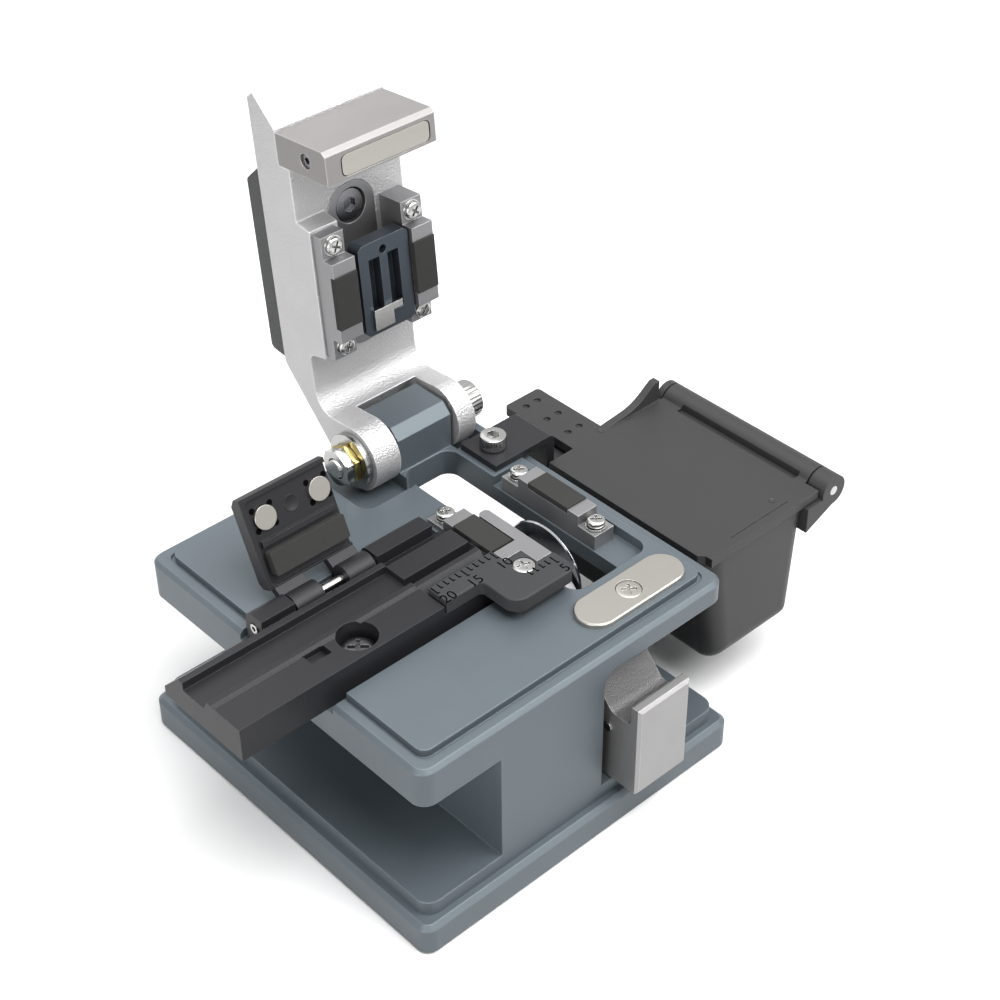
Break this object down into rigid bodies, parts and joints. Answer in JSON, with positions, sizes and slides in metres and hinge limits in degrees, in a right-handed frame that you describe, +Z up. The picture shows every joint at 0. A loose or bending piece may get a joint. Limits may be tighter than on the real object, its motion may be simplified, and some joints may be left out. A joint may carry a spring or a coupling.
{
  "type": "fibre cleaver",
  "caption": "Bench cleaver for glass fibre, with a hinged clamp arm, sliding round blade, fibre holder and scrap bin.",
  "frame": {"origin": "centre of the rubber mat's underside, on which the base stands", "axes": "+X along the fibre towards the scrap bin, +Y towards the arm's hinge, +Z up"},
  "size_m": [0.0935, 0.0735, 0.082],
  "materials": {
    "slate_anodised": "satin",
    "cast_aluminium": "satin",
    "machined_aluminium": "matte",
    "black_anodised": "satin",
    "polished_steel": "polished",
    "brass": "satin",
    "black_plastic": "matte",
    "black_rubber": "matte",
    "magnet_nickel": "polished",
    "blade_carbide": "polished"
  },
  "bodies": {
    "frame": {"base_mat": "black_rubber", "base_plate": "slate_anodised", "base_screws": "polished_steel", "body_frame": "slate_anodised", "striker_plate": "machined_aluminium", "striker_screw": "polished_steel", "deck_pad_holder_right": "machined_aluminium", "deck_pad_holder_left": "machined_aluminium", "deck_pad_right": "black_rubber", "deck_pad_left": "black_rubber", "deck_spring_washers": "polished_steel", "deck_pad_screws": "polished_steel", "fibre_guide": "machined_aluminium", "fibre_holder": "black_anodised", "holder_screw": "polished_steel", "lid_hinge_pin": "polished_steel", "scale_plate": "black_anodised", "scale_plate_screw": "polished_steel", "hinge_washers": "polished_steel", "hinge_bush": "brass", "hinge_nut": "polished_steel", "hinge_shaft": "polished_steel", "bin_body": "black_plastic", "bin_hinge_pin": "polished_steel", "bin_bracket": "black_anodised", "bracket_screw": "polished_steel", "slide_rail": "polished_steel"},
    "arm_unit": {"arm": "cast_aluminium", "anvil_carrier": "machined_aluminium", "anvil_adjuster": "polished_steel", "arm_grip": "black_plastic", "arm_pad_holder_left": "machined_aluminium", "arm_pad_left": "black_rubber", "arm_pad_holder_right": "machined_aluminium", "arm_pad_right": "black_rubber", "arm_pad_screws": "polished_steel", "magnet_block": "machined_aluminium", "magnet_bar": "magnet_nickel", "block_screw": "polished_steel"},
    "anvil_unit": {"anvil": "black_anodised", "anvil_tip": "polished_steel"},
    "slider": {"runner_block": "polished_steel", "carriage": "machined_aluminium", "blade_holder": "black_anodised", "blade_axle": "polished_steel", "slide_stop_pin": "polished_steel"},
    "cutter": {"blade": "blade_carbide"},
    "tray_lid": {"holder_lid": "black_anodised", "lid_magnets": "magnet_nickel", "lid_pad": "black_rubber"},
    "scrap_lid": {"bin_lid": "black_plastic"}
  },
  "joints": [
    {"name": "arm_hinge", "type": "hinge", "parent": "frame", "child": "arm_unit", "pos_m": [0.01345, 0.0214, 0.0333], "axis": [1, 0, 0], "range_deg": [0, 95]},
    {"name": "anvil_plunge", "type": "slide", "parent": "arm_unit", "child": "anvil_unit", "axis": [0, 0.9962, -0.0872], "range_m": [0, 0.0008], "stiffness_N_per_m": 600},
    {"name": "slider_travel", "type": "slide", "parent": "frame", "child": "slider", "axis": [0, 1, 0], "range_m": [0, 0.014]},
    {"name": "blade_spin", "type": "hinge", "parent": "slider", "child": "cutter", "pos_m": [0.0135, -0.0067, 0.0259], "axis": [1, 0, 0], "continuous": true},
    {"name": "tray_lid_hinge", "type": "hinge", "parent": "frame", "child": "tray_lid", "pos_m": [-0.0133, 0.0049, 0.0313], "axis": [1, 0, 0], "range_deg": [0, 114]},
    {"name": "scrap_lid_hinge", "type": "hinge", "parent": "frame", "child": "scrap_lid", "pos_m": [0.0526, -0.007, 0.0275], "axis": [0, 1, 0], "range_deg": [0, 100]}
  ]
}
